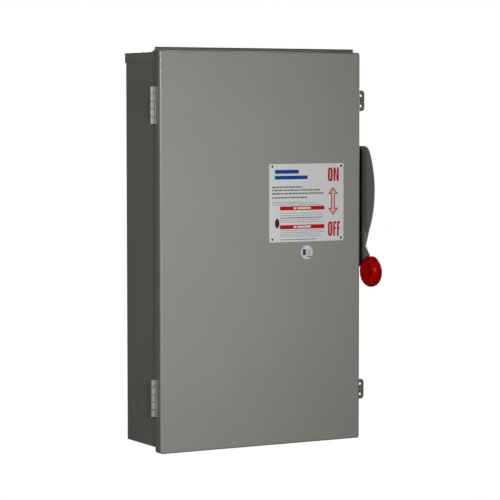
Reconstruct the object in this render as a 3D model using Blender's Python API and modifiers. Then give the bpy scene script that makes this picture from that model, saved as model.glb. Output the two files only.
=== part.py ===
"""Heavy-duty disconnect switch in a rainproof steel enclosure, with a side handle.

Sizes are in millimetres and become metres as each mesh is made. The origin is the centre of the flat
back face, +Z is up, and the door faces -Y. The switch is stored off: handle down, door shut, and both
door latches lifted clear of their studs.
"""

import math

import bmesh
import bpy

# Enclosure
SHEET = 1.6
BODY_HALF = 203.7
BODY_BOTTOM = -351.4
BODY_TOP = 355.9
BODY_FRONT = -143.0
RETURN_WIDTH = 10.0

# Door
DOOR_HALF = 208.0
DOOR_TOP = 360.0
DOOR_FRONT = -146.0
DOOR_REAR = -124.0
DOOR_CORNERS = (3.8, 5.0, 5.0, 3.8)
DOOR_BEND = 3.5

# Rain hood
HOOD_HALF = 206.2
HOOD_TOP = 357.9
HOOD_FLANGE_BOTTOM = 339.7
LIP_REAR = -121.9
LIP_TOP = 366.5
SWEEP_START = -101.9

# Hinges
HINGE_X = -212.0
HINGE_Y = -122.5
KNUCKLE_R = 4.0
KNUCKLES = 5
KNUCKLE_GAP = 1.0
UPPER_HINGE = (229.9, 296.2)
LOWER_HINGE = (-294.4, -227.9)

# Latches
EAR_RIGHT = 231.0
EAR_Y = (-123.4, -121.8)
UPPER_EAR = (251.8, 290.4)
LOWER_EAR = (-289.5, -252.1)
STUD_Y = -132.0
LATCH_TRAVEL = 10.0

# Handle, which turns about a shaft along X
PIVOT = (-58.0, 87.5)
KNOB = (-146.2, -47.7)
KNOB_X = 232.1
KNOB_R = 29.0
KNOB_HALF = 11.0
ARM_X = (230.5, 233.7)
SHAFT_R = 8.0
GUARD_X = (241.0, 243.4)
GUARD_BOW = (17.0, 102.5, 158.3)
GUARD_TOP = 186.3
GUARD_FILLET = 22.0
HOUSING_X = (204.1, 229.0)

# Switch
POLES = (-28.0, 54.0)
BASE_FRONT = -18.0
BASE_REAR = -5.4
BLADE_TILT = math.radians(55)
BLADE_HALF_LENGTH = 38.0
BLADE_HALF_WIDTH = 10.0
ROTOR_R = 17.0

GAP = 0.3

# Finish: base colour, metallic, roughness, alpha
FINISHES = {
    "grey_paint": ((0.245, 0.25, 0.225), 0.0, 0.45, 1.0),
    "dark_steel": ((0.10, 0.105, 0.10), 0.6, 0.5, 1.0),
    "zinc": ((0.62, 0.62, 0.60), 1.0, 0.35, 1.0),
    "steel": ((0.45, 0.45, 0.44), 1.0, 0.35, 1.0),
    "copper": ((0.72, 0.38, 0.24), 1.0, 0.35, 1.0),
    "tinned": ((0.72, 0.72, 0.70), 1.0, 0.3, 1.0),
    "black_plastic": ((0.012, 0.013, 0.012), 0.0, 0.4, 1.0),
    "red_plastic": ((0.36, 0.004, 0.006), 0.0, 0.22, 1.0),
    "base_plastic": ((0.09, 0.035, 0.025), 0.0, 0.5, 1.0),
    "fuse_paper": ((0.16, 0.11, 0.07), 0.0, 0.6, 1.0),
    "clear_sheet": ((0.8, 0.85, 0.85), 0.0, 0.1, 0.3),
    "white_plate": ((0.62, 0.62, 0.60), 0.0, 0.4, 1.0),
}

# A shape is (points, faces) in millimetres; each axis lists the two axes that an outline lies in.
PLANES = {"X": (1, 2, 0), "Y": (0, 2, 1), "Z": (0, 1, 2)}


def clear_scene():
    for obj in list(bpy.data.objects):
        bpy.data.objects.remove(obj)


def new_collection(name, hidden=False):
    collection = bpy.data.collections.new(name)
    bpy.context.scene.collection.children.link(collection)
    collection.hide_render = hidden
    return collection


def at(axis, flat, along):
    first, second, third = PLANES[axis]
    point = [0.0, 0.0, 0.0]
    point[first] = flat[0]
    point[second] = flat[1]
    point[third] = along
    return tuple(point)


def prism(axis, outline, low, high):
    """The outline drawn across the axis, extruded from low to high."""
    count = len(outline)
    points = [at(axis, p, low) for p in outline] + [at(axis, p, high) for p in outline]
    faces = [tuple(range(count)), tuple(range(count, 2 * count))]
    for i in range(count):
        j = (i + 1) % count
        faces.append((i, j, count + j, count + i))
    return points, faces


def box(x, y, z):
    return prism("Z", [(x[0], y[0]), (x[1], y[0]), (x[1], y[1]), (x[0], y[1])], z[0], z[1])


def circle(centre, radius, sides=24, start=0.0):
    turn = 2 * math.pi / sides
    return [
        (centre[0] + radius * math.cos(start + turn * i), centre[1] + radius * math.sin(start + turn * i))
        for i in range(sides)
    ]


def cylinder(axis, centre, radius, low, high, sides=24):
    return prism(axis, circle(centre, radius, sides), low, high)


def ring(axis, centre, outer, inner, low, high, sides=16):
    """A tube with flat ends."""
    loops = []
    for radius, along in ((outer, low), (outer, high), (inner, high), (inner, low)):
        loops.append([at(axis, p, along) for p in circle(centre, radius, sides)])
    return skin(loops, closed=True)


def lathe(axis, centre, profile, sides=24):
    """A solid of revolution from (position along the axis, radius) pairs, capped at both ends."""
    loops = [[at(axis, p, along) for p in circle(centre, radius, sides)] for along, radius in profile]
    return skin(loops, closed=False)


def skin(loops, closed):
    """Faces between loops of equal length. An open run of loops is capped at its ends."""
    count = len(loops[0])
    points = [point for loop in loops for point in loop]
    faces = []
    steps = len(loops) if closed else len(loops) - 1
    for k in range(steps):
        a = k * count
        b = (k + 1) % len(loops) * count
        for i in range(count):
            j = (i + 1) % count
            faces.append((a + i, a + j, b + j, b + i))
    if not closed:
        faces.append(tuple(range(count)))
        faces.append(tuple(range(len(points) - count, len(points))))
    return points, faces


def rounded(x, z, radius, steps=3):
    """A rectangle outline with rounded corners. The radius is one number, or one for each corner."""
    radii = [radius] * 4 if isinstance(radius, (int, float)) else radius
    corners = [(x[1], z[1], 0), (x[0], z[1], 90), (x[0], z[0], 180), (x[1], z[0], 270)]
    outline = []
    for (cx, cz, start), r in zip(corners, radii):
        inward = (-1 if cx == x[1] else 1, -1 if cz == z[1] else 1)
        for i in range(steps + 1):
            angle = math.radians(start + 90 * i / steps)
            if r == 0 and i:
                continue
            outline.append(
                (cx + inward[0] * r + r * math.cos(angle), cz + inward[1] * r + r * math.sin(angle))
            )
    return outline


def slot(centre, width, length, sides=6):
    """An upright slot outline, rounded at both ends. Its length is end to end."""
    half = (length - width) / 2
    outline = []
    for sign in (1, -1):
        for i in range(sides + 1):
            angle = math.pi * i / sides + (0 if sign > 0 else math.pi)
            outline.append(
                (centre[0] + width / 2 * math.cos(angle), centre[1] + sign * half + width / 2 * math.sin(angle))
            )
    return outline


def together(shapes):
    points = []
    faces = []
    for shape_points, shape_faces in shapes:
        start = len(points)
        points += shape_points
        faces += [tuple(start + i for i in face) for face in shape_faces]
    return points, faces


def mesh_object(name, shape, collection):
    mesh = bpy.data.meshes.new(name)
    points, faces = shape
    mesh.from_pydata([tuple(c * 0.001 for c in point) for point in points], [], faces)
    bm = bmesh.new()
    bm.from_mesh(mesh)
    bmesh.ops.recalc_face_normals(bm, faces=bm.faces)
    bm.to_mesh(mesh)
    bm.free()
    obj = bpy.data.objects.new(name, mesh)
    collection.objects.link(obj)
    return obj


def principled(name, finish):
    colour, metallic, roughness, alpha = FINISHES[finish]
    material = bpy.data.materials.new(name)
    material.use_nodes = True
    shader = material.node_tree.nodes["Principled BSDF"]
    shader.inputs["Base Color"].default_value = (*colour, 1.0)
    shader.inputs["Metallic"].default_value = metallic
    shader.inputs["Roughness"].default_value = roughness
    shader.inputs["Alpha"].default_value = alpha
    return material


def helper(name, shape):
    obj = mesh_object(name, shape, CUTTERS)
    obj.hide_render = True
    obj.display_type = "WIRE"
    return obj


def boolean(obj, operation, other):
    modifier = obj.modifiers.new(other.name, "BOOLEAN")
    modifier.operation = operation
    modifier.solver = "EXACT"
    modifier.object = other


def make(name, finish, shape, add=(), remove=(), bevel=None):
    """One sub-part: a shape, then what is joined to it, then what is cut away."""
    obj = mesh_object(name, shape, PARTS)
    obj.data.materials.append(principled(name, finish))
    if bevel:
        modifier = obj.modifiers.new("bevel", "BEVEL")
        modifier.width = bevel[0] * 0.001
        modifier.segments = bevel[1]
        modifier.limit_method = "ANGLE"
        modifier.angle_limit = math.radians(50)
    for i, extra in enumerate(add):
        boolean(obj, "UNION", helper(f"{name}_join_{i}", extra))
    if remove:
        boolean(obj, "DIFFERENCE", helper(f"{name}_cut", together(remove)))
    return obj


def enclosure_wrap():
    """Back and both sides folded from one sheet, with stiffening returns along the front edges."""
    side = BODY_HALF
    inner = side - SHEET
    lip = side - RETURN_WIDTH
    front = BODY_FRONT
    outline = [
        (-side, 0), (side, 0), (side, front), (lip, front), (lip, front + SHEET), (inner, front + SHEET),
        (inner, -SHEET), (-inner, -SHEET), (-inner, front + SHEET), (-lip, front + SHEET), (-lip, front),
        (-side, front),
    ]
    holes = [cylinder("Y", (x, z), 4.5, -5, 5, 16) for x in (-150, 150) for z in (-318, 318)]
    holes.append(cylinder("X", PIVOT, 11.0, 195, 210))
    make("enclosure_wrap", "grey_paint", prism("Z", outline, BODY_BOTTOM, BODY_TOP), remove=holes)


def end_wall(name, outer, inward):
    """A top or bottom wall: a flat sheet with its front edge turned into the enclosure."""
    inner = outer + inward * SHEET
    turned = outer + inward * 15
    outline = [(-140.9, outer), (-2, outer), (-2, inner), (-139.3, inner), (-139.3, turned), (-140.9, turned)]
    half = BODY_HALF - SHEET - 0.4
    make(name, "grey_paint", prism("X", outline, -half, half))


def hood_heights():
    """How the hood's top and underside run from back to front: flat, then swept up into the drip lip."""
    heights = [(0, HOOD_TOP, HOOD_TOP - SHEET)]
    for i in range(6):
        forward = 20 * math.sin(math.radians(18 * i))
        top = HOOD_TOP + 7 * (1 - math.cos(math.radians(18 * i)))
        under = HOOD_TOP - SHEET + 8.6 * (1 - math.sqrt(1 - (forward / 21.6) ** 2))
        heights.append((SWEEP_START - forward, top, under))
    heights.append((LIP_REAR - 0.05, LIP_TOP, heights[-1][2] + 0.1))
    heights.append((LIP_REAR - SHEET, LIP_TOP, LIP_TOP - SHEET))
    return heights


def rain_hood():
    """The roof sheet with a flange folded down at each side, outside the enclosure's walls."""
    half = HOOD_HALF
    inner = HOOD_HALF - SHEET
    low = HOOD_FLANGE_BOTTOM
    loops = []
    for y, top, under in hood_heights():
        section = [
            (-half, low), (-half, top), (half, top), (half, low), (inner, low), (inner, under), (-inner, under),
            (-inner, low),
        ]
        loops.append([(x, y, z) for x, z in section])
    make("rain_hood", "grey_paint", skin(loops, closed=False))


def door_panel():
    """A shallow pan whose edges wrap round the front of the enclosure, with the two latch studs."""
    loops = []
    for angle in range(0, 91, 18):
        inset = DOOR_BEND * (1 - math.sin(math.radians(angle)))
        along = DOOR_FRONT + DOOR_BEND * (1 - math.cos(math.radians(angle)))
        loops.append(door_outline(inset, along))
    loops.append(door_outline(0, DOOR_REAR))
    loops.append(door_outline(SHEET, DOOR_REAR))
    loops.append(door_outline(SHEET, DOOR_FRONT + DOOR_BEND))
    loops.append(door_outline(DOOR_BEND, DOOR_FRONT + SHEET))
    studs = [cylinder("X", (STUD_Y, stud_height(ear)), 2.0, 204.5, 207, 16) for ear in (UPPER_EAR, LOWER_EAR)]
    make("door_panel", "grey_paint", skin(loops, closed=False), add=studs)


def door_outline(inset, along):
    """The door's outline drawn in by an inset, at a depth."""
    half = DOOR_HALF - inset
    top = DOOR_TOP - inset
    radii = [r - inset for r in DOOR_CORNERS]
    return [at("Y", p, along) for p in rounded((-half, half), (-top, top), radii)]


def stud_height(ear):
    return (ear[0] + ear[1]) / 2 - 7


def latch(name, ear):
    """A slide on the right wall: an outward ear to push, and a hook whose slot takes the door stud."""
    plate = prism("X", rounded((-122.5, -96), ear, [0, 0, 4, 4]), 204.1, 205.7)
    hook = prism("X", rounded((-140, -121), (ear[0] + 1, ear[1] - 4), [0, 4, 4, 0]), 204.1, 205.7)
    tab = prism("Y", rounded((204.1, EAR_RIGHT), ear, [6, 0, 0, 6]), EAR_Y[0], EAR_Y[1])
    stud = stud_height(ear)
    run = [
        (-145, stud - 2.6), (-129.4, stud - 2.6), (-129.4, stud + LATCH_TRAVEL + 2.6),
        (-134.6, stud + LATCH_TRAVEL + 2.6), (-134.6, stud + 2.6), (-145, stud + 2.6),
    ]
    cuts = [prism("X", run, 203, 207)]
    cuts += [prism("X", slot((-106, z + 5), 6.8, 17.2), 203, 207) for z in rivet_heights(ear)]
    middle = (ear[0] + ear[1]) / 2
    cuts += [cylinder("Y", (223.2, middle + dz), 2.4, -126, -119, 16) for dz in (-9.7, 9.7)]
    make(name, "dark_steel", plate, add=[hook, tab], remove=cuts)


def rivet_heights(ear):
    middle = (ear[0] + ear[1]) / 2
    return middle - 13, middle + 6


def latch_rivets(prefix, ear):
    for label, z in zip(("lower", "upper"), rivet_heights(ear)):
        profile = [(204.0, 3.0), (206.0, 3.0), (206.0, 5.2), (207.2, 5.2), (207.9, 3.6)]
        make(f"{prefix}_latch_rivet_{label}", "zinc", lathe("X", (-106, z), profile, 16))


def hinge(prefix, span):
    """Two leaves with interleaved knuckles round one pin."""
    centre = (HINGE_X, HINGE_Y)
    pitch = (span[1] - span[0] + KNUCKLE_GAP) / KNUCKLES
    body_knuckles = []
    door_knuckles = []
    for i in range(KNUCKLES):
        low = span[0] + pitch * i
        high = low + pitch - KNUCKLE_GAP
        knuckle = ring("Z", centre, KNUCKLE_R, 2.05, low, high)
        if i % 2:
            door_knuckles += [knuckle, box((-209.9, -208.3), (-127.5, HINGE_Y), (low, high))]
        else:
            body_knuckles += [knuckle, box((HINGE_X, -206.8), (-120.3, -118.9), (low, high))]
    corner = [(-207, -120.3), (-204.1, -120.3), (-204.1, -106), (-205.5, -106), (-205.5, -118.9), (-207, -118.9)]
    make(f"{prefix}_hinge_body_leaf", "grey_paint", prism("Z", corner, *span), add=body_knuckles)
    strip = box((-209.9, -208.3), (-129.8, -127.2), span)
    make(f"{prefix}_hinge_door_leaf", "grey_paint", strip, add=door_knuckles)
    pin = lathe("Z", centre, [(span[0] - 1.2, 1.7), (span[1] + 0.5, 1.7)], 12)
    make(f"{prefix}_hinge_pin", "grey_paint", pin)


def handle_housing():
    """The moulded spacer between the wall and the handle, open towards the wall."""
    edge = 2.0
    steps = (
        (HOUSING_X[1], edge), (HOUSING_X[1] - 0.6, 0.6), (HOUSING_X[1] - edge, 0), (HOUSING_X[0], 0),
        (HOUSING_X[0], 3), (226, 3),
    )
    loops = []
    for x, inset in steps:
        radii = [r - inset for r in (8, 8, 14, 8)]
        outline = rounded((-121 + inset, -22 - inset), (-42.5 + inset, 183.8 - inset), radii)
        loops.append([at("X", p, x) for p in outline])
    make("handle_housing", "black_plastic", skin(loops, closed=False), remove=[cylinder("X", PIVOT, 9.6, 220, 232)])


def guard_outline():
    """The guard seen from the side: a bowed front edge, a rounded upper corner and a drawn-in lower end."""
    y, z, radius = GUARD_BOW
    fillet_z = GUARD_TOP - GUARD_FILLET
    reach = radius - GUARD_FILLET
    fillet_y = y - math.sqrt(reach**2 - (fillet_z - z) ** 2)
    rise = math.asin((fillet_z - z) / reach)
    outline = [(-18, GUARD_TOP)]
    for i in range(6):
        angle = math.radians(90) + (math.radians(90) - rise) * i / 5
        outline.append((fillet_y + GUARD_FILLET * math.cos(angle), fillet_z + GUARD_FILLET * math.sin(angle)))
    fall = math.asin((z - 28) / radius)
    for i in range(1, 17):
        angle = rise - (rise + fall) * i / 16
        outline.append((y - radius * math.cos(angle), z + radius * math.sin(angle)))
    return outline + [(-112.0, 2.0), (-107.0, -7.0), (-99.0, -12.0), (-18, -12.0)]


def handle_guard():
    """A steel plate outside the handle, with a bowed front edge, held off the wall by its flanges."""
    plate = prism("X", guard_outline(), *GUARD_X)
    outer = GUARD_X[1]
    top = box((204.1, outer), (-104, -18), (GUARD_TOP - 2.1, GUARD_TOP))
    rear = box((204.1, outer), (-20.4, -18), (-12, GUARD_TOP))
    foot = box((204.1, 206.4), (-19, -5), (-12, GUARD_TOP))
    lock = cylinder("X", arm_point(92, 0), 4.6, 236, 250, 16)
    make("handle_guard", "grey_paint", plate, add=[top, rear, foot], remove=[lock])


def arm_point(along, across):
    """A point on the handle from its distance along the pivot-to-knob line and across it, to the front."""
    length = math.dist(PIVOT, KNOB)
    u = ((KNOB[0] - PIVOT[0]) / length, (KNOB[1] - PIVOT[1]) / length)
    v = (u[1], -u[0])
    return PIVOT[0] + u[0] * along + v[0] * across, PIVOT[1] + u[1] * along + v[1] * across


def handle_arm():
    """A flat bar from the shaft to the knob, with a lobe for the padlock hole."""
    front = [
        (153, 8), (148, 12), (131.4, 11.5), (117.2, 9.5), (108.8, 8.7), (106.5, 9.8), (100.8, 16.9), (96.1, 22),
        (90.7, 23.4), (77.5, 20), (64.9, 17.5), (30, 16),
    ]
    rear = [(0, -18), (60, -15), (110, -15), (125, -18), (146, -16), (153, -8)]
    hub = circle((0, 0), 18, 12, math.radians(90))[:7]
    plate = prism("X", [arm_point(*p) for p in rear + front + hub], *ARM_X)
    cuts = [cylinder("X", PIVOT, SHAFT_R + GAP, 228, 240), cylinder("X", arm_point(92, 0), 4.6, 228, 240, 16)]
    make("handle_arm", "grey_paint", plate, remove=cuts)


def knob():
    """A thick disc that faces sideways, with a full round rim and a dish in each face, slotted for the arm."""
    crest = KNOB_R * 0.66
    half = [(KNOB_HALF - 4.5, 4.0), (KNOB_HALF - 4.5, 9.0), (KNOB_HALF - 1.0, 15.0)]
    for i in range(6):
        angle = math.radians(18 * i)
        half.append((KNOB_HALF * math.cos(angle), crest + (KNOB_R - crest) * math.sin(angle)))
    half[-1] = (0, KNOB_R)
    profile = [(KNOB_X - along, radius) for along, radius in half]
    profile += [(KNOB_X + along, radius) for along, radius in reversed(half[:-1])]
    mouth = [arm_point(*p) for p in ((100, -20.5), (154, -20.5), (154, 13.5), (100, 13.5))]
    cut = prism("X", mouth, ARM_X[0] - GAP, ARM_X[1] + GAP)
    make("knob", "red_plastic", lathe("X", KNOB, profile, 32), remove=[cut])


def handle_drive():
    """The shaft through the wall, the nut that holds the arm on it, and the crank that drives the rotor."""
    make("handle_shaft", "steel", lathe("X", PIVOT, [(133.3, SHAFT_R), (237.6, SHAFT_R), (238.4, 7.2)]))
    nut = cylinder("X", PIVOT, 13.5, ARM_X[1] + GAP, ARM_X[1] + 3.8, 6)
    make("shaft_nut", "zinc", nut, remove=[cylinder("X", PIVOT, SHAFT_R + GAP, 230, 245)])
    pin = cylinder("X", on_rotor(14, 150), 3.0, 120, 130, 16)
    make("drive_crank", "steel", cylinder("X", PIVOT, 20, 128.5, 133), add=[pin])
    bushing = ring("X", PIVOT, 10.6, 8.5, 200.5, 219.5, 24)
    flange = ring("X", PIVOT, 15, 8.5, 199.6, 201.6, 24)
    make("shaft_bushing", "black_plastic", bushing, add=[flange])


def on_rotor(radius, degrees):
    """A point round the pivot, its angle measured from the rear towards the top."""
    angle = math.radians(degrees)
    return PIVOT[0] + radius * math.cos(angle), PIVOT[1] + radius * math.sin(angle)


def blade_outline(half_length, half_width):
    """A blade's outline with the switch off: its top end leans to the front by BLADE_TILT."""
    u = (-math.sin(BLADE_TILT), math.cos(BLADE_TILT))
    v = (u[1], -u[0])
    corners = [(-1, -1), (1, -1), (1, 1), (-1, 1)]
    return [
        (
            PIVOT[0] + a * half_length * u[0] + b * half_width * v[0],
            PIVOT[1] + a * half_length * u[1] + b * half_width * v[1],
        )
        for a, b in corners
    ]


def rotor():
    """The insulating bar that carries the blades. The crank pin runs in a wide slot in its end disc."""
    body = lathe("X", PIVOT, [(-76, ROTOR_R), (117, ROTOR_R), (117, 22), (126, 22)])
    window = blade_outline(40, BLADE_HALF_WIDTH + GAP)
    cuts = [prism("X", window, x - 2.5 - GAP, x + 2.5 + GAP) for x in POLES]
    cuts.append(prism("X", arc_slot(10.2, 17.8, 150, 95), 119, 130))
    make("rotor", "black_plastic", body, remove=cuts)
    for i, x in enumerate(POLES, 1):
        outline = blade_outline(BLADE_HALF_LENGTH, BLADE_HALF_WIDTH)
        make(f"blade_{i}", "copper", prism("X", outline, x - 2.5, x + 2.5))


def arc_slot(inner, outer, start, end):
    """A curved slot between two angles, with room for the crank pin at both ends."""
    margin = 17
    low = min(start, end) - margin
    high = max(start, end) + margin
    angles = [low + (high - low) * i / 10 for i in range(11)]
    return [on_rotor(outer, a) for a in angles] + [on_rotor(inner, a) for a in reversed(angles)]


def rotor_bearing(name, x):
    block = box(x, (-84, BASE_FRONT - GAP), (62, 113))
    hole = cylinder("X", PIVOT, ROTOR_R + 0.8, x[0] - 2, x[1] + 2, 32)
    make(name, "base_plastic", block, remove=[hole])


def mechanism():
    """The bracket that carries the shaft behind the wall, and the coil that loads it."""
    base = box((139, 190), (-5, -2.2), (45, 130))
    cheek = [(-82, 62), (-4, 55), (-4, 120), (-82, 113)]
    cheeks = [prism("X", cheek, 140, 142.5), prism("X", cheek, 184, 186.5)]
    hole = cylinder("X", PIVOT, 9.4, 135, 190)
    make("mechanism_frame", "zinc", base, add=cheeks, remove=[hole])
    make("loading_spring", "steel", coil(146, 180, 13, 1.7, 6))


def coil(low, high, radius, wire, turns):
    """A coil spring round the shaft, its wire a hexagon in section."""
    steps = 12 * turns
    loops = []
    for i in range(steps + 1):
        angle = 2 * math.pi * i / 12
        along = low + (high - low) * i / steps
        loop = []
        for k in range(6):
            around = math.pi * k / 3
            r = radius + wire * math.cos(around)
            loop.append((along + wire * math.sin(around), PIVOT[0] + r * math.cos(angle), PIVOT[1] + r * math.sin(angle)))
        loops.append(loop)
    return skin(loops, closed=False)


def mounting_pan():
    make("mounting_pan", "zinc", box((-95, 125), (-5, -2.2), (-250, 300)))


def bases():
    switch = box((-80, 110), (BASE_FRONT, BASE_REAR), (31, 290))
    ribs = [box((x - 1.5, x + 1.5), (-60, BASE_FRONT + 1), (150, 288)) for x in (13,)]
    make("switch_base", "base_plastic", switch, add=ribs)
    fuse = box((-66, 92), (BASE_FRONT, BASE_REAR), (-242, 29))
    rib = box((11.5, 14.5), (-60, BASE_FRONT + 1), (-238, 25))
    make("fuse_base", "base_plastic", fuse, add=[rib])


def pole(index, x):
    """One pole from its line lug at the top to its load lug at the bottom."""
    foot = BASE_FRONT - GAP
    strap = box((x - 9, x + 9), (-24.3, foot), (144, 272))
    lug = box((x - 14, x + 14), (-54, -22), (234, 272))
    bore = cylinder("Z", (x, -40), 9, 230, 276, 16)
    screw = cylinder("Y", (x, 253), 6, -60, -40, 6)
    make(f"line_lug_{index}", "tinned", strap, add=[lug], remove=[bore])
    leaf_y = (-68, -48)
    for name, low, high, leaf in (
        (f"line_jaw_{index}", 129, 141, (108, 131)),
        (f"load_jaw_{index}", 33, 45, (43, 67)),
        (f"upper_fuse_clip_{index}", 19.5, 30, (-2, 21)),
        (f"lower_fuse_clip_{index}", -176, -165, (-167, -142)),
    ):
        block = box((x - 7, x + 7), (-68, foot), (low, high))
        leaves = [box((x + s * 3.9 - 1.1, x + s * 3.9 + 1.1), leaf_y, leaf) for s in (-1, 1)]
        make(name, "copper", block, add=leaves)
    load_strap = box((x - 9, x + 9), (-24.3, foot), (-230, -178))
    load_lug = box((x - 14, x + 14), (-54, -22), (-230, -192))
    load_bore = cylinder("Z", (x, -40), 9, -235, -185, 16)
    make(f"load_lug_{index}", "tinned", load_strap, add=[load_lug], remove=[load_bore])
    arc_chute(index, x)
    fuse(index, x)


def arc_chute(index, x):
    """Insulating side walls round the line jaw, closed above, with splitter plates across the front."""
    top = box((x - 14, x + 14), (-98, -26), (150, 153))
    walls = [box((x + s * 13 - 1, x + s * 13 + 1), (-98, -26), (112, 151)) for s in (-1, 1)]
    plates = [box((x - 13.5, x + 13.5), (y - 0.8, y + 0.8), (133, 151)) for y in (-94, -86, -78)]
    make(f"arc_chute_{index}", "base_plastic", top, add=walls + plates)


def fuse(index, x):
    """A knife-blade cartridge fuse: paper tube, end caps and a flat blade at each end."""
    profile = [
        (-136, 19), (-135, 20.5), (-108, 20.5), (-108, 19.5), (-33, 19.5), (-33, 20.5), (-6, 20.5), (-5, 19),
    ]
    tube = lathe("Z", (x, -58), profile, 20)
    blades = [box((x - 2.3, x + 2.3), (-68, -48), z) for z in ((-163, -134), (-7, 18))]
    make(f"fuse_{index}", "fuse_paper", tube, add=blades)


def neutral_and_ground():
    make("neutral_base", "base_plastic", box((-170, -122), (-20, -2), (-190, -50)))
    bar = box((-160, -132), (-42, -20 - GAP), (-180, -60))
    bores = [cylinder("X", (-31, z), 5.5, -170, -120, 12) for z in (-160, -120, -80)]
    make("neutral_bar", "tinned", bar, remove=bores)
    ground = box((20, 120), (-14, -2), (-334, -318))
    make("ground_bar", "tinned", ground)


def line_shield():
    """A clear guard over the line terminals: a front sheet with a leg folded back at each side."""
    outline = [
        (-87, -5.4), (-87, -109), (119, -109), (119, -5.4), (117.5, -5.4), (117.5, -107.5), (-85.5, -107.5),
        (-85.5, -5.4),
    ]
    make("line_shield", "clear_sheet", prism("Z", outline, 200, 288))


def door_fittings():
    front = DOOR_FRONT - GAP
    make("nameplate", "white_plate", prism("Y", rounded((13.6, 171.5), (12.6, 156.0), 1.5), front - 0.8, front))
    make("round_sticker", "white_plate", cylinder("Y", (93.2, -7.4), 13.0, front - 0.5, front, 32))
    back = DOOR_FRONT + SHEET + GAP
    plate = box((150, 188), (back, back + 2), (60, 115))
    arm = box((168, 170), (back, -116), (66, 109))
    make("door_interlock_bracket", "zinc", plate, add=[arm])


clear_scene()
PARTS = new_collection("disconnect_switch")
CUTTERS = new_collection("cutters", hidden=True)

enclosure_wrap()
end_wall("bottom_endwall", BODY_BOTTOM, 1)
end_wall("top_endwall", 352.0, -1)
rain_hood()
door_panel()
door_fittings()
hinge("upper", UPPER_HINGE)
hinge("lower", LOWER_HINGE)
latch("upper_latch", UPPER_EAR)
latch("lower_latch", LOWER_EAR)
latch_rivets("upper", UPPER_EAR)
latch_rivets("lower", LOWER_EAR)
handle_housing()
handle_guard()
handle_arm()
knob()
handle_drive()
rotor()
rotor_bearing("rotor_bearing_left", (-74, -60))
rotor_bearing("rotor_bearing_right", (92, 106))
mechanism()
mounting_pan()
bases()
for number, pole_x in enumerate(POLES, 1):
    pole(number, pole_x)
neutral_and_ground()
line_shield()
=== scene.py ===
"""Looks for the disconnect switch: materials, printed nameplate, trim, camera and studio light.

Shapes are drawn in millimetres in the part's frame: origin at the centre of the back face, door facing -Y.
"""

import math
import random

import bmesh
import bpy
from mathutils import Euler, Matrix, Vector

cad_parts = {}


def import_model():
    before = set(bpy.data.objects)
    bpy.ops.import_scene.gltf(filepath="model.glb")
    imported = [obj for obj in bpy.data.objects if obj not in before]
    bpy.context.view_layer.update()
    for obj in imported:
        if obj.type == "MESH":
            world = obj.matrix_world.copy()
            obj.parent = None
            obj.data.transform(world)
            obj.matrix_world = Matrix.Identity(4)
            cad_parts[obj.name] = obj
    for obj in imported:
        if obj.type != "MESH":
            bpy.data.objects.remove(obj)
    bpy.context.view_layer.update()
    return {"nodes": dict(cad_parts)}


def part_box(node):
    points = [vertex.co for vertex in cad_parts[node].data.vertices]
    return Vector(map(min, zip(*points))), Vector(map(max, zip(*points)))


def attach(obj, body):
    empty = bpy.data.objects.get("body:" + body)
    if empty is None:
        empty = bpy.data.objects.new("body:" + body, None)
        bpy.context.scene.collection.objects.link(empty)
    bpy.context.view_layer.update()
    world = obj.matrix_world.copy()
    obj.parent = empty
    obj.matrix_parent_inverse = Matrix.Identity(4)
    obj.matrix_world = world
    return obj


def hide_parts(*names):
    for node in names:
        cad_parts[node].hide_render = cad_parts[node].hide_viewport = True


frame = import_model()
NODES = frame["nodes"]
MM = 0.001


# --- Materials ---------------------------------------------------------------------------------------

# The part of a noise texture's range that is used, and the mix node's sockets in its colour mode.
NOISE_RANGE = (0.3, 0.7)
MIX_FACTOR, MIX_A, MIX_B, MIX_RESULT = 0, 6, 7, 2
COAT_ROUGHNESS = 0.12


def noise(tree, scale, detail, stretch=(1, 1, 1)):
    """The output of a noise texture on object coordinates, in metres."""
    coords = tree.nodes.new("ShaderNodeTexCoord")
    mapping = tree.nodes.new("ShaderNodeMapping")
    mapping.inputs["Scale"].default_value = stretch
    texture = tree.nodes.new("ShaderNodeTexNoise")
    texture.inputs["Scale"].default_value = scale
    texture.inputs["Detail"].default_value = detail
    tree.links.new(coords.outputs["Object"], mapping.inputs["Vector"])
    tree.links.new(mapping.outputs["Vector"], texture.inputs["Vector"])
    return texture.outputs["Fac"]


def spread(tree, source, low, high):
    """The noise, mapped so that it runs from low to high."""
    node = tree.nodes.new("ShaderNodeMapRange")
    node.inputs["From Min"].default_value = NOISE_RANGE[0]
    node.inputs["From Max"].default_value = NOISE_RANGE[1]
    node.inputs["To Min"].default_value = low
    node.inputs["To Max"].default_value = high
    tree.links.new(source, node.inputs["Value"])
    return node.outputs["Result"]


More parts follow.
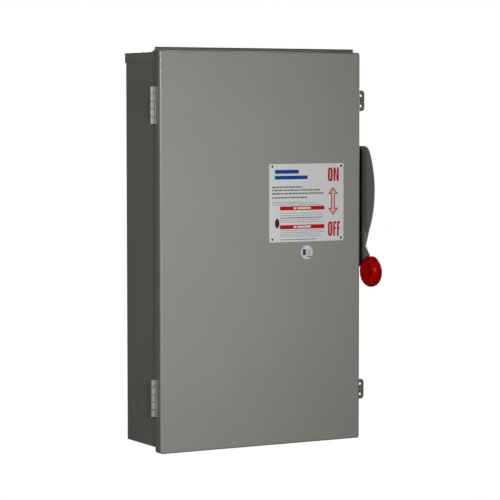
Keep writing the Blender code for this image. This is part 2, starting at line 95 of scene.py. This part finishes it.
def finish(
    name, colour, rough, metallic=0.0, mottle=0.05, patch=9, grain=(900, 3), bump=0.0, stretch=(1, 1, 1),
    coat=0.0, alpha=1.0, specular=0.5, rough_spread=0.05,
):
    """A Principled material that varies with procedural noise.

    The colour varies by a share, mottle, in noise of scale patch. The roughness varies in fine noise, whose
    scale and detail are the grain, and which also makes the relief. Bump is its depth in millimetres.
    """
    material = bpy.data.materials.new(name)
    material.use_nodes = True
    tree = material.node_tree
    shader = tree.nodes["Principled BSDF"]
    shader.inputs["Metallic"].default_value = metallic
    shader.inputs["Coat Weight"].default_value = coat
    shader.inputs["Coat Roughness"].default_value = COAT_ROUGHNESS
    shader.inputs["Alpha"].default_value = alpha
    shader.inputs["Specular IOR Level"].default_value = specular
    mix = tree.nodes.new("ShaderNodeMix")
    mix.data_type = "RGBA"
    mix.inputs[MIX_A].default_value = (*[c * (1 - mottle) for c in colour], 1)
    mix.inputs[MIX_B].default_value = (*[min(1, c * (1 + mottle)) for c in colour], 1)
    tree.links.new(spread(tree, noise(tree, patch, 4), 0, 1), mix.inputs[MIX_FACTOR])
    tree.links.new(mix.outputs[MIX_RESULT], shader.inputs["Base Color"])
    fine = noise(tree, grain[0], grain[1], stretch)
    roughness = spread(tree, fine, rough - rough_spread, rough + rough_spread)
    tree.links.new(roughness, shader.inputs["Roughness"])
    if bump:
        relief = tree.nodes.new("ShaderNodeBump")
        relief.inputs["Strength"].default_value = 1.0
        relief.inputs["Distance"].default_value = bump * MM
        tree.links.new(fine, relief.inputs["Height"])
        tree.links.new(relief.outputs["Normal"], shader.inputs["Normal"])
    return material


def paint(name, colour, rough, bump=0.004, mottle=0.02, specular=1.0, rough_spread=0.05):
    """Powder coat, with the slight waviness of a sprayed film."""
    return finish(
        name, colour, rough, grain=(420, 2), bump=bump, mottle=mottle, specular=specular,
        rough_spread=rough_spread,
    )


def printed(name, colour, rough=0.4):
    """A printed ink."""
    return finish(name, colour, rough, grain=(1400, 3), bump=0.004)


PAINT = paint("powder_coat", (0.264, 0.275, 0.243), 0.22, rough_spread=0.02)
# The door's powder coat made lighter: painted highlight, standing in for the gleam along the round hinge
# knuckles.
HINGE_HIGHLIGHT = paint("hinge_paint_painted_highlight", (0.32, 0.33, 0.295), 0.22)
# Near black: painted shade, for the thin dark line along the top of the drip lip.
LIP_SHADE = finish("lip_painted_shade", (0.022, 0.026, 0.022), 0.5, grain=(420, 2), bump=0.004, specular=0.3)
ARM_PAINT = paint("arm_paint", (0.180, 0.192, 0.176), 0.34, bump=0.006, mottle=0.04, specular=0.6)
EAR_STEEL = finish("ear_steel", (0.25, 0.255, 0.245), 0.42, metallic=0.3, grain=(700, 3), bump=0.01)
ZINC = finish("zinc_plate", (0.58, 0.58, 0.56), 0.3, metallic=0.4, patch=60, grain=(800, 4), bump=0.006)
STEEL = finish(
    "turned_steel", (0.42, 0.42, 0.42), 0.28, metallic=0.5, grain=(300, 2), stretch=(12, 1, 1), bump=0.006,
)
COPPER = finish(
    "copper_bar", (0.62, 0.28, 0.16), 0.32, metallic=0.5, grain=(260, 3), stretch=(1, 1, 9), bump=0.008,
)
TIN = finish("tin_plate", (0.62, 0.62, 0.60), 0.34, metallic=0.4, patch=50, grain=(900, 3), bump=0.01)
BLACK = finish("black_moulding", (0.005, 0.006, 0.005), 0.5, grain=(1500, 3), bump=0.02, specular=0.3)
RED = finish("red_moulding", (0.34, 0.0, 0.0), 0.2, grain=(500, 2), bump=0.002, mottle=0.03, specular=0.14)
PIN = finish("pin_steel", (0.05, 0.05, 0.048), 0.45, metallic=0.5, grain=(700, 3), bump=0.01)
BASE = finish("thermoset", (0.13, 0.05, 0.036), 0.5, grain=(1200, 4), bump=0.03, mottle=0.12, patch=40)
PAPER = finish(
    "fuse_fibre", (0.17, 0.115, 0.07), 0.55, grain=(500, 5), stretch=(1, 1, 0.2), bump=0.02, mottle=0.15,
)
CLEAR = finish("clear_sheet", (0.9, 0.94, 0.94), 0.06, alpha=0.28, rough_spread=0.02, coat=0.3)
PLATE = finish("plate_white", (0.60, 0.605, 0.60), 0.36, grain=(1100, 3), bump=0.006, mottle=0.02)
PLATE_HEAD = finish("rivet_head", (0.09, 0.09, 0.085), 0.35, metallic=0.8, grain=(900, 3), bump=0.01)
INK_RED = printed("ink_red", (0.40, 0.010, 0.007))
INK_PINK = printed("ink_pink", (0.57, 0.42, 0.40))
INK_BLUE = printed("ink_blue", (0.006, 0.06, 0.22))
INK_GREY = printed("ink_grey", (0.11, 0.11, 0.115), 0.45)
INK_FAINT = printed("ink_faint", (0.30, 0.30, 0.31), 0.45)
INK_DARK = printed("ink_dark", (0.03, 0.03, 0.032))


# --- Mesh helpers ------------------------------------------------------------------------------------

BEVEL_STEPS = 3
BEVEL_ANGLE = math.radians(40)
WELD_REACH = 0.02 * MM


def build(name, points, faces, material, body, slot, smooth=None):
    """A new piece from points in millimetres, riding on a body. The slot is not used."""
    mesh = bpy.data.meshes.new(name)
    mesh.from_pydata([tuple(c * MM for c in p) for p in points], [], faces)
    bm = bmesh.new()
    bm.from_mesh(mesh)
    bmesh.ops.recalc_face_normals(bm, faces=bm.faces)
    bm.to_mesh(mesh)
    bm.free()
    mesh.materials.append(material)
    obj = bpy.data.objects.new(name, mesh)
    bpy.context.scene.collection.objects.link(obj)
    if smooth:
        shade(obj, smooth)
    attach(obj, body)
    return obj


def soften(obj, width):
    """Bevels the sharp edges."""
    modifier = obj.modifiers.new("bevel", "BEVEL")
    modifier.width = width * MM
    modifier.segments = BEVEL_STEPS
    modifier.limit_method = "ANGLE"
    modifier.angle_limit = BEVEL_ANGLE


def shade(obj, angle):
    """Shades as smooth every edge flatter than the angle in degrees, and keeps flat faces flat."""
    obj.data.shade_smooth()
    obj.data.set_sharp_from_angle(angle=math.radians(angle))
    flat = obj.modifiers.new("flat_faces", "WEIGHTED_NORMAL")
    flat.keep_sharp = True


def place(axis, flat, along):
    """A point from two coordinates across the axis and one along it."""
    if axis == "X":
        return (along, flat[0], flat[1])
    if axis == "Y":
        return (flat[0], along, flat[1])
    return (flat[0], flat[1], along)


def prism(axis, outlines, low, high):
    """Each outline, extruded along the axis, all in one mesh."""
    points = []
    faces = []
    for outline in outlines:
        n = len(outline)
        start = len(points)
        points += [place(axis, p, low) for p in outline] + [place(axis, p, high) for p in outline]
        faces += [tuple(range(start, start + n)), tuple(range(start + n, start + 2 * n))]
        faces += [(start + i, start + (i + 1) % n, start + n + (i + 1) % n, start + n + i) for i in range(n)]
    return points, faces


def lathe(axis, centre, profile, sides):
    """A solid of revolution from (place along the axis, radius) pairs. Its last two faces are end caps."""
    points = []
    faces = []
    for along, radius in profile:
        points += [place(axis, p, along) for p in ellipse(centre, radius, radius, sides)]
    for k in range(len(profile) - 1):
        for i in range(sides):
            j = (i + 1) % sides
            faces.append((k * sides + i, k * sides + j, (k + 1) * sides + j, (k + 1) * sides + i))
    faces.append(tuple(range(sides)))
    faces.append(tuple(range(len(points) - sides, len(points))))
    return points, faces


def box_of(name):
    """A node's lowest and highest corners, in millimetres."""
    return [[c / MM for c in corner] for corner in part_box(name)]


def rect(x, z):
    """A rectangle from its two ranges."""
    return [(x[0], z[0]), (x[1], z[0]), (x[1], z[1]), (x[0], z[1])]


def ellipse(centre, rx, rz, sides=32):
    """An ellipse from its centre and its two radii."""
    turn = 2 * math.pi / sides
    return [(centre[0] + rx * math.cos(turn * i), centre[1] + rz * math.sin(turn * i)) for i in range(sides)]


def band(outer, inner):
    """The strip between two closed outlines of as many points, as a ring of four-sided pieces."""
    n = len(outer)
    return [[outer[i], outer[(i + 1) % n], inner[(i + 1) % n], inner[i]] for i in range(n)]


# --- CAD nodes ---------------------------------------------------------------------------------------


def dress(names, material, bevel=0.0, smooth=35):
    """Gives CAD nodes a material, softened edges and clean shading. Their meshes keep their shape."""
    for name in names:
        obj = NODES[name]
        mesh = obj.data
        if mesh.attributes.get("custom_normal"):
            mesh.attributes.remove(mesh.attributes["custom_normal"])
        mesh.materials.clear()
        mesh.materials.append(material)
        weld = obj.modifiers.new("weld", "WELD")
        weld.merge_threshold = WELD_REACH
        if bevel:
            soften(obj, bevel)
        shade(obj, smooth)


def each(*starts):
    """The CAD nodes whose names start in any of the ways given."""
    return [n for n in sorted(NODES) if n.startswith(starts)]


def dress_outside():
    """The enclosure, door, hinges, latches and handle."""
    dress(["enclosure_wrap", "rain_hood"], PAINT, 0.7)
    dress(["door_panel"], PAINT, smooth=40)
    dress(["top_endwall", "bottom_endwall"], PAINT, 0.5)
    # The hinge leaves and knuckles take the lighter coat, a painted highlight.
    dress(["upper_hinge_body_leaf", "lower_hinge_body_leaf"], HINGE_HIGHLIGHT, 0.4)
    dress(["upper_hinge_door_leaf", "lower_hinge_door_leaf"], HINGE_HIGHLIGHT, 0.15)
    dress(["upper_hinge_pin", "lower_hinge_pin"], PIN, 0.3)
    dress(["handle_arm"], ARM_PAINT, 0.8)
    dress(["handle_guard"], ARM_PAINT, 0.5)
    dress(["upper_latch", "lower_latch"], EAR_STEEL, 0.3)
    dress(each("upper_latch_rivet", "lower_latch_rivet"), ZINC)
    dress(["handle_housing", "shaft_bushing"], BLACK, 0.3)
    dress(["knob"], RED)
    dress(["shaft_nut"], ZINC, 0.3)
    dress(["nameplate"], PLATE, 0.15)
    dress(["round_sticker"], PLATE)


def dress_inside():
    """The drive, the poles, the fuses and what they stand on."""
    dress(["handle_shaft", "drive_crank", "loading_spring"], STEEL, smooth=50)
    dress(["mounting_pan", "mechanism_frame", "door_interlock_bracket"], ZINC, 0.3)
    dress(["rotor"], BLACK, 0.4)
    dress(each("blade_"), COPPER, 0.6)
    dress(each("line_jaw", "load_jaw", "upper_fuse_clip", "lower_fuse_clip"), COPPER, 0.35)
    dress(each("line_lug", "load_lug") + ["neutral_bar", "ground_bar"], TIN, 0.6)
    dress(["switch_base", "fuse_base", "neutral_base"], BASE, 1.2)
    dress(each("rotor_bearing", "arc_chute"), BASE, 0.5)
    dress(["fuse_1", "fuse_2"], PAPER)
    dress(["line_shield"], CLEAR, 0.3)


# --- Knob --------------------------------------------------------------------------------------------

DISH_DEPTH = 6.5
# The dish's outline: height above its floor, and radius.
DISH = ((0, 0.5), (0.1, 5), (0.8, 9), (2.2, 12.5), (4.4, 15.8), (6.0, 18))
CREST = 0.66  # of the knob's radius, where the dish meets the rounded rim
RIM_STEPS = 10


def knob():
    """The red grip: a thick disc with a full round rim and a shallow dish in each face."""
    low, high = box_of("knob")
    cx, cy, cz = [(a + b) / 2 for a, b in zip(low, high)]
    half_width = (high[0] - low[0]) / 2
    radius = (high[2] - low[2]) / 2
    crest = radius * CREST
    half = [(half_width - DISH_DEPTH + rise, r) for rise, r in DISH]
    for i in range(RIM_STEPS + 1):
        angle = math.radians(90 * i / RIM_STEPS)
        half.append((half_width * math.cos(angle), crest + (radius - crest) * math.sin(angle)))
    profile = [(cx - a, r) for a, r in half] + [(cx + a, r) for a, r in reversed(half[:-1])]
    grip = lathe("X", (cy, cz), profile, sides=96)
    piece = build("knob_grip", *grip, RED, "handle", "red_plastic", smooth=60)
    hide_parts("knob")


# --- Nameplate and sticker ---------------------------------------------------------------------------

# Inks stand this far off the plate, in layers, and their backs are sunk into it a little.
INK, INK_BELOW, INK_ABOVE, INK_TOP = 0.05, 0.03, 0.06, 0.08
STICKER_INK = 0.04
SUNK = 0.02

# Where the plate's rows of print begin, at its left margin or indented, and the heights of its red bands.
MARGIN = 5.8
INDENT = 22.7
BANDS = ((58.2, 65.4), (23.8, 31.2))

# A rivet head's outline: height above the plate, and radius.
RIVET_HEAD = ((0, 2.1), (0.5, 2.05), (0.9, 1.7), (1.2, 1.0), (1.25, 0.2))


def ink(name, outlines, material, depth=INK, on="nameplate"):
    """Flat printed shapes on a plate, drawn from the plate's lower left corner."""
    low = box_of(on)[0]
    placed = [[(low[0] + u, low[2] + w) for u, w in outline] for outline in outlines]
    build(name, *prism("Y", placed, low[1] - depth, low[1] + SUNK), material, "door", "white_plate")


def capsule(x, z, sides=10):
    """An upright slot with round ends."""
    r = (x[1] - x[0]) / 2
    cx = (x[0] + x[1]) / 2
    points = []
    for start, cz in ((0, z[1] - r), (math.pi, z[0] + r)):
        for i in range(sides + 1):
            angle = start + math.pi * i / sides
            points.append((cx + r * math.cos(angle), cz + r * math.sin(angle)))
    return points


def letter_o(x, z, weight):
    """A tall letter O with rounded ends."""
    return band(capsule(x, z), capsule((x[0] + weight, x[1] - weight), (z[0] + weight, z[1] - weight)))


def letter_n(x, z, weight):
    """A letter N as one outline."""
    left, right = x[0] + weight, x[1] - weight
    cut = weight * 2.2
    return [[
        (x[0], z[0]), (left, z[0]), (left, z[1] - cut), (right, z[0]), (x[1], z[0]),
        (x[1], z[1]), (right, z[1]), (right, z[0] + cut), (left, z[1]), (x[0], z[1]),
    ]]


def letter_f(x, z, weight):
    """A letter F as one outline, its middle bar a little high and short."""
    middle = (z[0] + z[1]) / 2 + 1
    low, high = middle - weight / 2, middle + weight / 2
    stem = x[0] + weight
    tip = x[1] - 1
    top = z[1] - weight
    return [[
        (x[0], z[0]), (stem, z[0]), (stem, low), (tip, low), (tip, high), (stem, high),
        (stem, top), (x[1], top), (x[1], z[1]), (x[0], z[1]),
    ]]


def arrow(inset):
    """A double-headed upright arrow, drawn smaller by an inset, which moves its tips and barbs further."""
    cx = 135.2
    tip, barb = inset * 1.9, inset * 2.1
    top, bottom = 99.3 - tip, 47.2 + tip
    neck_top, neck_bottom = 86.6 + inset, 60.8 - inset
    head = 11.0 - barb
    shaft = 4.3 - inset
    side = [
        (0, top), (head, neck_top), (shaft, neck_top),
        (shaft, neck_bottom), (head, neck_bottom), (0, bottom),
    ]
    return [(cx - u, w) for u, w in side] + [(cx + u, w) for u, w in reversed(side[1:-1])]


def words():
    """ON at the top and OFF at the bottom of the plate's right column, with a double arrow between."""
    height = (110.0, 135.4)
    on = letter_o((124.0, 134.3), height, 4.1) + letter_n((136.2, 147.5), height, 3.9)
    ink("plate_on", on, INK_RED)
    height = (8.7, 35.6)
    off = letter_o((124.3, 133.9), height, 3.9)
    off += letter_f((135.6, 142.3), height, 3.7) + letter_f((143.8, 150.5), height, 3.7)
    ink("plate_off", off, INK_RED)
    ink("plate_arrow", [arrow(0)], INK_RED, INK_BELOW)
    ink("plate_arrow_field", [arrow(1.8)], INK_PINK, INK_ABOVE)


def dashes(x, z, thick, seed, gap=1.0):
    """A line of small print, as a run of dashes of mixed lengths."""
    chance = random.Random(seed)
    outlines = []
    start = x[0]
    while start < x[1] - 1:
        end = min(x[1], start + chance.uniform(2.5, 8.0))
        outlines.append(rect((start, end), (z - thick / 2, z + thick / 2)))
        start = end + gap
    return outlines


def large_print():
    """The plate's two blue bars, its four bold rows and its red bands."""
    ink("plate_mark", [rect((11.6, 80.5), (114.9, 121.6)), rect((11.6, 62.0), (125.4, 132.4))], INK_BLUE)
    rows = []
    for seed, (end, z) in enumerate(((69, 100.7), (106.7, 95.0), (114.6, 88.9), (79.4, 81.5))):
        rows += dashes((MARGIN, end), z, 2.6, seed, 1.3)
    ink("plate_text_bold", rows, INK_GREY)
    ink("plate_bands", [rect((22.2, 116.6), z) for z in BANDS], INK_RED)


def small_print():
    """The plate's rows of fine print, as (start, end, height), and two stronger rows."""
    lines = (
        (MARGIN, 68, 73.6), (MARGIN, 96, 71.0), (MARGIN, 112, 67.8), (INDENT, 112, 52.8),
        (INDENT, 115, 48.8), (INDENT, 104, 40.2), (INDENT, 114, 36.6), (INDENT, 112, 20.7),
        (INDENT, 116, 17.3), (INDENT, 106, 13.8), (INDENT, 112, 10.1),
    )
    rows = []
    for seed, (start, end, z) in enumerate(lines, 20):
        rows += dashes((start, end), z, 1.2, seed, 0.8)
    ink("plate_text_fine", rows, INK_FAINT)
    strong = dashes((INDENT, 114), 44.3, 1.6, 60) + dashes((INDENT, 98), 4.4, 1.4, 61)
    ink("plate_text_strong", strong, INK_GREY)


def symbols():
    """Two blank pale marks on each red band, and a dark oval below the upper band, by the margin."""
    inset = 1.8
    marks = [rect(u, (z[0] + inset, z[1] - inset)) for z in BANDS for u in ((50.7, 56.6), (59.0, 87.3))]
    ink("plate_band_marks", marks, PLATE, INK_TOP)
    ink("plate_symbol", [ellipse((16.4, 34.7), 4.7, 8.8)], INK_DARK)


def plate_rivets():
    """A domed rivet in each corner of the nameplate."""
    low = box_of("nameplate")[0]
    profile = [(low[1] - out, radius) for out, radius in RIVET_HEAD]
    for i, (u, w) in enumerate(((6.3, 138.5), (152.4, 138.7), (6.3, 5.5), (152.2, 5.5)), 1):
        points, faces = lathe("Y", (low[0] + u, low[2] + w), profile, sides=20)
        build(f"plate_rivet_{i}", points, faces, PLATE_HEAD, "door", "dark_steel", smooth=60)


def sticker():
    """A plain round sticker with a rim, two coloured blocks and a bar, placed from its centre."""
    low, high = box_of("round_sticker")
    r = (high[0] - low[0]) / 2
    outer, inner = r - 0.4, r - 1.1
    rim = band(ellipse((r, r), outer, outer, sides=48), ellipse((r, r), inner, inner, sides=48))
    ink("sticker_rim", rim, INK_FAINT, INK_BELOW, "round_sticker")
    blocks = (
        ("sticker_block_blue", (-9, -2.5), (-5, 6), INK_BLUE),
        ("sticker_block_pink", (-1, 9), (-5, 6), INK_PINK),
        ("sticker_bar", (-1, 9), (-8.6, -6.6), INK_RED),
    )
    for name, x, z, material in blocks:
        block = rect((r + x[0], r + x[1]), (r + z[0], r + z[1]))
        ink(name, [block], material, STICKER_INK, "round_sticker")


# --- Trim on the enclosure and the inner parts -------------------------------------------------------

KNOCKOUT_AT = (-46.0, -287.0)
KNOCKOUT_RADII = (27.0, 21.5, 15.5)
RIDGE_HEIGHT = 0.35
RIDGE_FOOT, RIDGE_CREST = 1.0, 0.45  # half widths
OFF_WALL = 0.02

# The strip of painted shade along the top front of the drip lip.
LIP_SHADE_INSET = 0.3
LIP_SHADE_HEIGHT = 1.6
LIP_SHADE_PROUD = 0.05
LIP_SHADE_THICK = 0.06

# Length of the blade at each end of a fuse.
FUSE_BLADES = {"lower": 27, "upper": 23}
# A fuse cap's outline: distance from the tube's end, and radius.
FUSE_CAP = (
    (-0.2, 17.5), (0.3, 19.6), (1.6, 20.8), (19.5, 20.8), (20.4, 20.0), (22.0, 20.0), (22.9, 20.8),
    (27.2, 20.8), (28.0, 19.7),
)

SCREW_FROM_END = 19
# A clamping screw's outline: height above the lug's face, and radius.
SOCKET_SCREW = ((-0.2, 6.4), (2.4, 6.4), (3.0, 5.8), (3.0, 3.3), (0.6, 3.1), (0.5, 0.4))


def knockout():
    """Concentric pressed rings on the left wall, as on a conduit knockout. They have no end caps."""
    wall = box_of("enclosure_wrap")[0][0] - OFF_WALL
    ridge = wall - RIDGE_HEIGHT
    for i, radius in enumerate(KNOCKOUT_RADII, 1):
        profile = [
            (wall, radius - RIDGE_FOOT), (ridge, radius - RIDGE_CREST),
            (ridge, radius + RIDGE_CREST), (wall, radius + RIDGE_FOOT),
        ]
        points, faces = lathe("X", KNOCKOUT_AT, profile, sides=64)
        build(f"side_knockout_{i}", points, faces[:-2], PAINT, "enclosure", "grey_paint", smooth=50)


def paint_lip_shade():
    """A near-black strip at the top front of the roof sheet's drip lip: painted shade for the dark line
    along the lip's upper edge.
    """
    low, high = box_of("rain_hood")
    width = (low[0] + LIP_SHADE_INSET, high[0] - LIP_SHADE_INSET)
    edge = rect(width, (high[2] - LIP_SHADE_HEIGHT, high[2] + LIP_SHADE_PROUD))
    strip = prism("Y", [edge], low[1] - LIP_SHADE_THICK, low[1] + SUNK)
    build("lip_shade_strip", *strip, LIP_SHADE, "enclosure", "grey_paint")


def fuse_caps():
    """A rolled metal cap over each end of each fuse tube, inside its end blades."""
    for name in ("fuse_1", "fuse_2"):
        low, high = box_of(name)
        centre = ((low[0] + high[0]) / 2, (low[1] + high[1]) / 2)
        ends = (("lower", low[2] + FUSE_BLADES["lower"], 1), ("upper", high[2] - FUSE_BLADES["upper"], -1))
        for end, start, way in ends:
            profile = [(start + way * along, radius) for along, radius in FUSE_CAP]
            piece = lathe("Z", centre, profile, sides=40)
            build(f"{name}_cap_{end}", *piece, COPPER, "enclosure", "copper", smooth=40)


def lug_screws():
    """A socket-head clamping screw in the face of each cable lug, near its outer end."""
    for name in each("line_lug", "load_lug"):
        low, high = box_of(name)
        z = high[2] - SCREW_FROM_END if name.startswith("line") else low[2] + SCREW_FROM_END
        profile = [(low[1] - out, radius) for out, radius in SOCKET_SCREW]
        piece = lathe("Y", ((low[0] + high[0]) / 2, z), profile, sides=32)
        build(f"{name}_screw", *piece, STEEL, "enclosure", "steel", smooth=40)


# --- Camera, light and floor -------------------------------------------------------------------------

LENS = 159.8
CAMERA_AT = (-1.9656, -3.6693, 0.2587)
YAW, PITCH, ROLL = 0.5032, 0.0641, -0.0006

WHITE = (1, 1, 1, 1)
BACKDROP_STRENGTH = 1.0
EVEN_LIGHT_STRENGTH = 0.028

FLOOR_Z = -1.4
FLOOR_HALF = 3
FLOOR_GLOW = 0.55


def camera():
    """A long lens from the front left, a little above the middle."""
    data = bpy.data.cameras.new("camera")
    data.sensor_width = 36
    data.lens = LENS
    obj = bpy.data.objects.new("camera", data)
    bpy.context.scene.collection.objects.link(obj)
    obj.location = CAMERA_AT
    aim = Euler((math.pi / 2 - PITCH, 0, -YAW)).to_matrix()
    obj.rotation_euler = (aim @ Euler((0, 0, ROLL)).to_matrix()).to_euler()
    bpy.context.scene.camera = obj


def area(name, at, aim, size, power, glints=True):
    """A soft light that the camera doesn't see. Without glints it gives no highlights."""
    data = bpy.data.lights.new(name, "AREA")
    data.shape = "RECTANGLE"
    data.size, data.size_y = size
    data.energy = power
    obj = bpy.data.objects.new(name, data)
    obj.visible_camera = False
    obj.visible_glossy = glints
    bpy.context.scene.collection.objects.link(obj)
    obj.location = at
    obj.rotation_euler = (Vector(aim) - Vector(at)).to_track_quat("-Z", "Y").to_euler()


def world():
    """White behind the object, and a dimmer even light on it."""
    scene_world = bpy.data.worlds.new("studio")
    bpy.context.scene.world = scene_world
    scene_world.use_nodes = True
    tree = scene_world.node_tree
    seen = tree.nodes["Background"]
    seen.inputs["Strength"].default_value = BACKDROP_STRENGTH
    seen.inputs["Color"].default_value = WHITE
    lit = tree.nodes.new("ShaderNodeBackground")
    lit.inputs["Strength"].default_value = EVEN_LIGHT_STRENGTH
    lit.inputs["Color"].default_value = WHITE
    path = tree.nodes.new("ShaderNodeLightPath")
    mix = tree.nodes.new("ShaderNodeMixShader")
    tree.links.new(path.outputs["Is Camera Ray"], mix.inputs[0])
    tree.links.new(lit.outputs[0], mix.inputs[1])
    tree.links.new(seen.outputs[0], mix.inputs[2])
    tree.links.new(mix.outputs[0], tree.nodes["World Output"].inputs["Surface"])


def floor():
    """A pale floor. It glows a little, and only the camera sees it, so that it doesn't light the object."""
    mesh = bpy.data.meshes.new("floor")
    corners = rect((-FLOOR_HALF, FLOOR_HALF), (-FLOOR_HALF, FLOOR_HALF))
    mesh.from_pydata([place("Z", corner, FLOOR_Z) for corner in corners], [], [(0, 1, 2, 3)])
    material = finish("floor_pale", (0.82, 0.82, 0.82), 0.7, grain=(30, 2), mottle=0.01)
    shader = material.node_tree.nodes["Principled BSDF"]
    shader.inputs["Emission Color"].default_value = WHITE
    shader.inputs["Emission Strength"].default_value = FLOOR_GLOW
    mesh.materials.append(material)
    obj = bpy.data.objects.new("floor", mesh)
    obj.visible_diffuse = False
    obj.visible_glossy = False
    bpy.context.scene.collection.objects.link(obj)


def studio():
    """The world, the floor, four soft lights and the camera. Lights are placed in metres."""
    world()
    floor()
    area("key", (-0.31, -1.12, 0.06), (-0.31, -0.1, 0.06), (0.5, 0.7), 8.8, glints=False)
    area("edge", (-2.71, -2.73, 0.78), (-0.2, -0.14, 0.1), (0.9, 0.9), 41)
    area("back", (0.9, 2.6, 1.3), (0, 0, 0), (1.6, 1.6), 55)
    area("right", (2.6, 0.7, 0.9), (0.2, 0, 0), (1.2, 1.6), 30)
    camera()
    bpy.context.scene.view_settings.view_transform = "Standard"


dress_outside()
dress_inside()
knob()
words()
large_print()
small_print()
symbols()
plate_rivets()
sticker()
paint_lip_shade()
fuse_caps()
lug_screws()
knockout()
studio()
